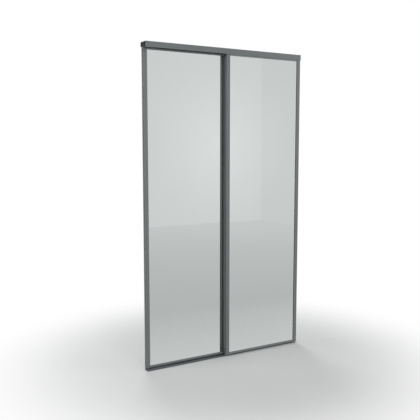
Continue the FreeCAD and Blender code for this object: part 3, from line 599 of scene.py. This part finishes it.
def adjuster_rings(length):
    """Set screw with a hexagon socket, a thrust collar and a fine thread. Its outer end is at 0."""
    rings = [(SOCKET_POINT, 0.0)]
    rings.append((SOCKET_DEPTH, hex_radius(SOCKET_FLOOR_FLAT)))
    rings.append((SOCKET_LIP, hex_radius(SOCKET_FLAT)))
    rings.append((0.0, SOCKET_MOUTH_RADIUS))
    rings.append((0.0, ADJUSTER_SHANK - ADJUSTER_CHAMFER))
    rings.append((ADJUSTER_CHAMFER, ADJUSTER_SHANK))
    rings.append((COLLAR_START, ADJUSTER_SHANK))
    rings.append((COLLAR_START, COLLAR_RADIUS - ADJUSTER_CHAMFER))
    rings.append((COLLAR_START + ADJUSTER_CHAMFER, COLLAR_RADIUS))
    rings.append((COLLAR_END - ADJUSTER_CHAMFER, COLLAR_RADIUS))
    rings.append((COLLAR_END, COLLAR_RADIUS - ADJUSTER_CHAMFER))
    rings.append((COLLAR_END, ADJUSTER_NECK))
    thread_start = COLLAR_END + ADJUSTER_PITCH
    thread_end = length - ADJUSTER_PITCH
    rings.extend(thread_rings(thread_start, thread_end, ADJUSTER_ROOT, ADJUSTER_SHANK, ADJUSTER_PITCH,
                              ADJUSTER_STEPS))
    rings.append((length, ADJUSTER_TIP))
    rings.append((length, 0.0))
    return rings


def screw_set(name, body, node, rings, stands):
    """One piece of like screws. A stand is the place of a screw's outer end and the way its point looks."""
    shell = Shell()
    for place, tip_axis in stands:
        turned_solid(shell, rings, place, tip_axis)
    shell.piece(name, [SLOT_FINISHES[slot_of[node]]], body, node)


def frame_screws(leaf):
    """Two screws in each side of a leaf, with their points inwards."""
    node = leaf + "_frame_screws"
    low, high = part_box(node)
    rings = pan_screw_rings(FRAME_HEAD, FRAME_HEAD_HEIGHT, FRAME_CREST, FRAME_LENGTH, FRAME_PITCH,
                            FRAME_ARM, FRAME_RECESS)
    depth = (low.y + high.y) / 2
    stands = []
    for level in (low.z + FRAME_HEAD, high.z - FRAME_HEAD):
        stands.append((Vector((low.x, depth, level)), (1, 0, 0)))
        stands.append((Vector((high.x, depth, level)), (-1, 0, 0)))
    screw_set(leaf + "_frame_screw_set", leaf + "_door", node, rings, stands)


def roller_screws(leaf):
    """Two screws in the back of a leaf for each roller unit, with their points forwards."""
    node = leaf + "_roller_screws"
    low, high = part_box(node)
    rings = pan_screw_rings(ROLLER_HEAD, ROLLER_HEAD_HEIGHT, ROLLER_CREST, high.y - low.y, ROLLER_PITCH,
                            ROLLER_ARM, ROLLER_RECESS)
    level = (low.z + high.z) / 2
    stands = []
    for end, inward in ((low.x + ROLLER_HEAD, 1), (high.x - ROLLER_HEAD, -1)):
        for across in (end, end + inward * ROLLER_SPACING):
            stands.append((Vector((across, high.y, level)), (0, -1, 0)))
    screw_set(leaf + "_roller_screw_set", leaf + "_door", node, rings, stands)


def height_adjusters(leaf):
    """The adjuster of each roller unit, with its socket outwards."""
    for side, inward in (("left", 1), ("right", -1)):
        node = f"{leaf}_{side}_height_adjuster"
        low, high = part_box(node)
        outer = low.x if inward > 0 else high.x
        centre = (low + high) / 2
        stands = [(Vector((outer, centre.y, centre.z)), (inward, 0, 0))]
        rings = adjuster_rings(high.x - low.x)
        screw_set(f"{leaf}_{side}_adjuster_screw", f"{leaf}_{side}_adjuster", node, rings, stands)


for leaf_name in ("front", "rear"):
    frame_screws(leaf_name)
    roller_screws(leaf_name)
    height_adjusters(leaf_name)


# Brush seals: a backing strip and rows of tapered tufts
BRUSH_SEED = 7
STRIP_HEIGHT = 0.8 * MM
STRIP_CHAMFER = 0.2 * MM
TUFT_PITCH = 2.0 * MM
TUFT_ROWS = 3
PILE_WIDTH = 4.0 * MM
TUFT_FOOT = 0.75 * MM
TUFT_WAIST = 0.8 * TUFT_FOOT
TUFT_TIP = 0.42 * MM
TUFT_CORNERS = 5
TUFT_SINK = 0.1 * MM
TUFT_LEAN_ACROSS = 0.35 * MM
TUFT_LEAN_UP = 0.5 * MM
TUFT_SHORTEST = 0.93
TUFT_TALLEST = 0.995
PILE_FINISH_INDEX = 1

# Shares of the pitch: the first tuft's height, and how far every other row is higher
FIRST_TUFT = 0.5
ROW_STAGGER = 0.25

# Rings of a tuft: a share of its height, and its radius there
TUFT_OUTLINE = ((0.0, TUFT_FOOT), (0.55, TUFT_WAIST), (1.0, TUFT_TIP))


def ringed_faces(corners, rings, inside_out):
    """Faces of a closed solid whose rings have that many corners each."""
    faces = []
    for ring in range(rings - 1):
        low_ring = ring * corners
        high_ring = low_ring + corners
        for corner in range(corners):
            after = (corner + 1) % corners
            faces.append((low_ring + corner, low_ring + after, high_ring + after, high_ring + corner))
    faces.append(tuple(range(corners))[::-1])
    faces.append(tuple(range((rings - 1) * corners, rings * corners)))
    return [face[::-1] for face in faces] if inside_out else faces


def brush(node, body, out, across, draws):
    """Brush seal up a leaf's edge. Its pile stands along out, with its rows side by side along across."""
    low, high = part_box(node)
    out = Vector(out)
    across = Vector(across)
    half_height = abs(out.dot(high - low)) / 2
    half_width = abs(across.dot(high - low)) / 2
    foot = (low + high) / 2 - half_height * out
    foot.z = low.z
    length = high.z - low.z
    shell = Shell()

    # Backing strip with chamfered upper edges
    profile = [(-half_width, 0.0), (half_width, 0.0), (half_width, STRIP_HEIGHT - STRIP_CHAMFER),
               (half_width - STRIP_CHAMFER, STRIP_HEIGHT), (STRIP_CHAMFER - half_width, STRIP_HEIGHT),
               (-half_width, STRIP_HEIGHT - STRIP_CHAMFER)]
    ends = (0.0, length)
    points = []
    for level in ends:
        points.extend(foot + wide * across + tall * out + level * UP for wide, tall in profile)
    strip_inside_out = across.cross(out).dot(UP) < 0
    shell.add(points, ringed_faces(len(profile), len(ends), strip_inside_out))

    # Tufts, each leaning a little its own way
    tuft_inside_out = across.cross(UP).dot(out) < 0
    tuft_faces = ringed_faces(TUFT_CORNERS, len(TUFT_OUTLINE), tuft_inside_out)
    pile_height = 2 * half_height - STRIP_HEIGHT
    reach = PILE_WIDTH / 2 - TUFT_FOOT
    for step in range(int(length / TUFT_PITCH)):
        for row in range(TUFT_ROWS):
            level = (step + FIRST_TUFT + ROW_STAGGER * (row % 2)) * TUFT_PITCH
            beside = reach * (2 * row / (TUFT_ROWS - 1) - 1)
            root = foot + (STRIP_HEIGHT - TUFT_SINK) * out + beside * across + level * UP
            lean = draws.uniform(-TUFT_LEAN_ACROSS, TUFT_LEAN_ACROSS) * across
            lean += draws.uniform(-TUFT_LEAN_UP, TUFT_LEAN_UP) * UP
            tall = pile_height * draws.uniform(TUFT_SHORTEST, TUFT_TALLEST) + TUFT_SINK
            twist = draws.uniform(0.0, FULL_TURN)
            tuft = []
            for share, radius in TUFT_OUTLINE:
                middle = root + share * tall * out + share * share * lean
                for corner in range(TUFT_CORNERS):
                    angle = twist + FULL_TURN * corner / TUFT_CORNERS
                    tuft.append(middle + radius * (math.cos(angle) * across + math.sin(angle) * UP))
            shell.add(tuft, tuft_faces, PILE_FINISH_INDEX)
    shell.piece(node + "_seal", [SLOT_FINISHES["nylon_black"], SLOT_FINISHES["brush_pile"]], body, node)


brush_draws = random.Random(BRUSH_SEED)
brush("front_jamb_brush", "front_door", (1, 0, 0), (0, 1, 0), brush_draws)
brush("rear_jamb_brush", "rear_door", (-1, 0, 0), (0, 1, 0), brush_draws)
brush("front_overlap_brush", "front_door", (0, 1, 0), (1, 0, 0), brush_draws)


# Studio: what the camera sees beyond the object is white, what the mirrors see is a plain pale room
WHITE = (1.0, 1.0, 1.0, 1.0)
WORLD_LIGHT = 0.55
FULL_STRENGTH = 1.0
SKY_IN_MIRROR = (0.80, 0.81, 0.81, 1.0)

# Floor, whose grey goes over to the background round the object
FLOOR_DROP = 0.3 * MM
FLOOR_RADIUS = 60.0
FLOOR_STEPS = 64
FLOOR_MIDDLE = (0.0, 0.0, 0.0)
FLOOR_FADE_START = 0.60
FLOOR_FADE_END = 1.9
FLOOR_GLOW_NEAR = 0.9
FLOOR_ROUGHNESS = 0.85
FLOOR_DARK = srgb(212, 214, 213)
FLOOR_LIGHT = srgb(216, 218, 217)

# Tones of the plain room that the mirrors see, from the middle of its pool of light outwards
POOL_PLACE = (3.8, -6.4, 1.5)
POOL_REACH = 8.0
POOL_TONES = ((0.0, 1.0), (0.175, 0.88), (0.375, 0.80), (0.75, 0.70), (1.0, 0.68))

# Shares of those tones, and painted light on the floor in front of the leaves, which the mirrors see
# brighter than the floor further out
FRONT_WALL_SHARE = 1.0
SIDE_WALL_SHARE = 0.95
FLOOR_SHARE = 0.92
NEAR_FLOOR_PAINTED_LIGHT = (0.80, 0.80, 0.79, 1.0)
NEAR_FLOOR_START = -1.2
NEAR_FLOOR_END = -0.1

# Backdrop walls behind the camera and to its right
WALL_DISTANCE = 6.4
CORNER_DISTANCE = 4.7
WALL_HEIGHT = 7.0

# Middle of the object, which the lamps face
LAMP_AIM = Vector((0.0, 0.0, 1.05))


def glow(tree, source=None):
    """White light of strength 1, or light of the source's colour."""
    node = tree.nodes.new("ShaderNodeEmission")
    node.inputs["Color"].default_value = WHITE
    if source is not None:
        tree.links.new(source, node.inputs["Color"])
    return node.outputs["Emission"]


def blend(tree, factor, first, second):
    """One shader going over to another."""
    node = tree.nodes.new("ShaderNodeMixShader")
    tree.links.new(factor, node.inputs["Fac"])
    tree.links.new(first, node.inputs[1])
    tree.links.new(second, node.inputs[2])
    return node.outputs["Shader"]


def seen_directly(tree):
    """The Light Path node, and 1 for the rays that come from the camera, also through clear things."""
    rays = tree.nodes.new("ShaderNodeLightPath")
    either = tree.nodes.new("ShaderNodeMath")
    either.operation = "MAXIMUM"
    tree.links.new(rays.outputs["Is Camera Ray"], either.inputs[0])
    tree.links.new(rays.outputs["Is Transmission Ray"], either.inputs[1])
    return rays, either.outputs["Value"]


def room_tone(finish, level):
    """A level of the plain room's grey in the mirrors, by the distance from its pool of light."""
    share = finish.spread(finish.distance(POOL_PLACE), end=POOL_REACH)
    stops = []
    for place, tone in POOL_TONES:
        grey = level * tone
        stops.append((place, (grey, grey, grey, 1.0)))
    return finish.ramp(share, *stops)


def floor_material():
    """Pale grey round the object with its shadow, going over to the background further out."""
    finish = Finish("floor_finish", specular=0.2)
    finish.shader.inputs["Roughness"].default_value = FLOOR_ROUGHNESS
    mottle = finish.noise(scale=1.3, detail=5.0)
    finish.paint(mottle, (0.3, FLOOR_DARK), (0.7, FLOOR_LIGHT))
    away = finish.distance(FLOOR_MIDDLE)
    far = finish.spread(away, start=FLOOR_FADE_START, end=FLOOR_FADE_END, course="SMOOTHERSTEP")
    rays, direct = seen_directly(finish.tree)
    cover = finish.spread(far, low=FLOOR_GLOW_NEAR)
    mirrored = finish.combine("MULTIPLY", cover, rays.outputs["Is Glossy Ray"])
    # Painted light: to glossy rays the floor in front of the leaves glows brighter than further out
    near = finish.spread(finish.place("Y"), start=NEAR_FLOOR_START, end=NEAR_FLOOR_END)
    tone = finish.mixed(near, room_tone(finish, FLOOR_SHARE), NEAR_FLOOR_PAINTED_LIGHT)
    surface = blend(finish.tree, mirrored, finish.shader.outputs["BSDF"], glow(finish.tree, tone))
    open_floor = finish.combine("MULTIPLY", far, direct)
    surface = blend(finish.tree, open_floor, surface, glow(finish.tree))
    finish.feed(surface, finish.nodes["Material Output"], "Surface")
    return finish.material


def wall_material(name, level):
    """Plain backdrop: white to the camera, and pale in the mirrors."""
    finish = Finish(name)
    direct = seen_directly(finish.tree)[1]
    pale = glow(finish.tree, room_tone(finish, level))
    surface = blend(finish.tree, direct, pale, glow(finish.tree))
    finish.feed(surface, finish.nodes["Material Output"], "Surface")
    return finish.material


def stage_piece(name, points, material):
    """One flat face that isn't part of the object."""
    mesh = bpy.data.meshes.new(name)
    mesh.from_pydata(points, [], [tuple(range(len(points)))])
    mesh.materials.append(material)
    made = bpy.data.objects.new(name, mesh)
    bpy.context.scene.collection.objects.link(made)
    return made


def upright(start, end):
    """Corners of a wall that stands between two points of the floor."""
    return [(*start, -FLOOR_DROP), (*end, -FLOOR_DROP), (*end, WALL_HEIGHT), (*start, WALL_HEIGHT)]


floor_points = []
for index in range(FLOOR_STEPS):
    turn_angle = FULL_TURN * index / FLOOR_STEPS
    east = FLOOR_RADIUS * math.cos(turn_angle)
    north = FLOOR_RADIUS * math.sin(turn_angle)
    floor_points.append((east, north, -FLOOR_DROP))
stage_piece("floor", floor_points, floor_material())

# The walls show to the camera and in glossy surfaces, and give no other light and no shadow
front_wall = upright((-FLOOR_RADIUS, -WALL_DISTANCE), (FLOOR_RADIUS, -WALL_DISTANCE))
side_wall = upright((CORNER_DISTANCE, -WALL_DISTANCE), (CORNER_DISTANCE, FLOOR_RADIUS))
walls = (("front_wall", front_wall, FRONT_WALL_SHARE), ("side_wall", side_wall, SIDE_WALL_SHARE))
for wall_name, wall_points, wall_level in walls:
    wall = stage_piece(wall_name, wall_points, wall_material(wall_name + "_finish", wall_level))
    wall.visible_diffuse = False
    wall.visible_shadow = False


def build_world():
    """White to the camera, the pale sky to glossy rays, plain light for the rest."""
    world = bpy.data.worlds.new("studio")
    world.use_nodes = True
    tree = world.node_tree
    tree.nodes.clear()
    rays, direct = seen_directly(tree)
    levels = []
    for colour, strength in ((WHITE, WORLD_LIGHT), (SKY_IN_MIRROR, FULL_STRENGTH), (WHITE, FULL_STRENGTH)):
        level = tree.nodes.new("ShaderNodeBackground")
        level.inputs["Color"].default_value = colour
        level.inputs["Strength"].default_value = strength
        levels.append(level.outputs["Background"])
    plain, sky, white = levels
    surface = blend(tree, rays.outputs["Is Glossy Ray"], plain, sky)
    surface = blend(tree, direct, surface, white)
    output = tree.nodes.new("ShaderNodeOutputWorld")
    tree.links.new(surface, output.inputs["Surface"])
    bpy.context.scene.world = world


build_world()


def lamp(name, place, size, power):
    """Square soft box that faces the middle of the object."""
    light = bpy.data.lights.new(name, "AREA")
    light.shape = "SQUARE"
    light.size = size
    light.energy = power
    made = bpy.data.objects.new(name, light)
    made.location = place
    aim = LAMP_AIM - Vector(place)
    made.rotation_euler = aim.to_track_quat("-Z", "Y").to_euler()
    made.visible_camera = False
    bpy.context.scene.collection.objects.link(made)


lamp("key_lamp", place=(-0.8, -7.4, 1.9), size=3.2, power=165.0)
lamp("left_lamp", place=(-5.4, 0.6, 2.2), size=3.0, power=145.0)
lamp("fill_lamp", place=(5.6, -3.6, 2.8), size=2.6, power=55.0)
lamp("back_lamp", place=(1.4, 5.0, 3.4), size=2.6, power=120.0)

# Camera, solved from the straight edges of the tracks and stiles
IMAGE_WIDTH = 420
FOCAL_PIXELS = 607.6
SENSOR_WIDTH = 36.0
CAMERA_PLACE = (-2.160, -3.5294, 1.4575)
CAMERA_AZIMUTH = math.radians(-30)
CAMERA_DROP = math.radians(6)
camera_data = bpy.data.cameras.new("photo_camera")
camera_data.sensor_width = SENSOR_WIDTH
camera_data.lens = FOCAL_PIXELS / IMAGE_WIDTH * SENSOR_WIDTH
camera = bpy.data.objects.new("photo_camera", camera_data)
camera.location = CAMERA_PLACE
camera.rotation_euler = (math.pi / 2 - CAMERA_DROP, 0.0, CAMERA_AZIMUTH)
bpy.context.scene.collection.objects.link(camera)
bpy.context.scene.camera = camera
bpy.context.scene.view_settings.view_transform = "Standard"
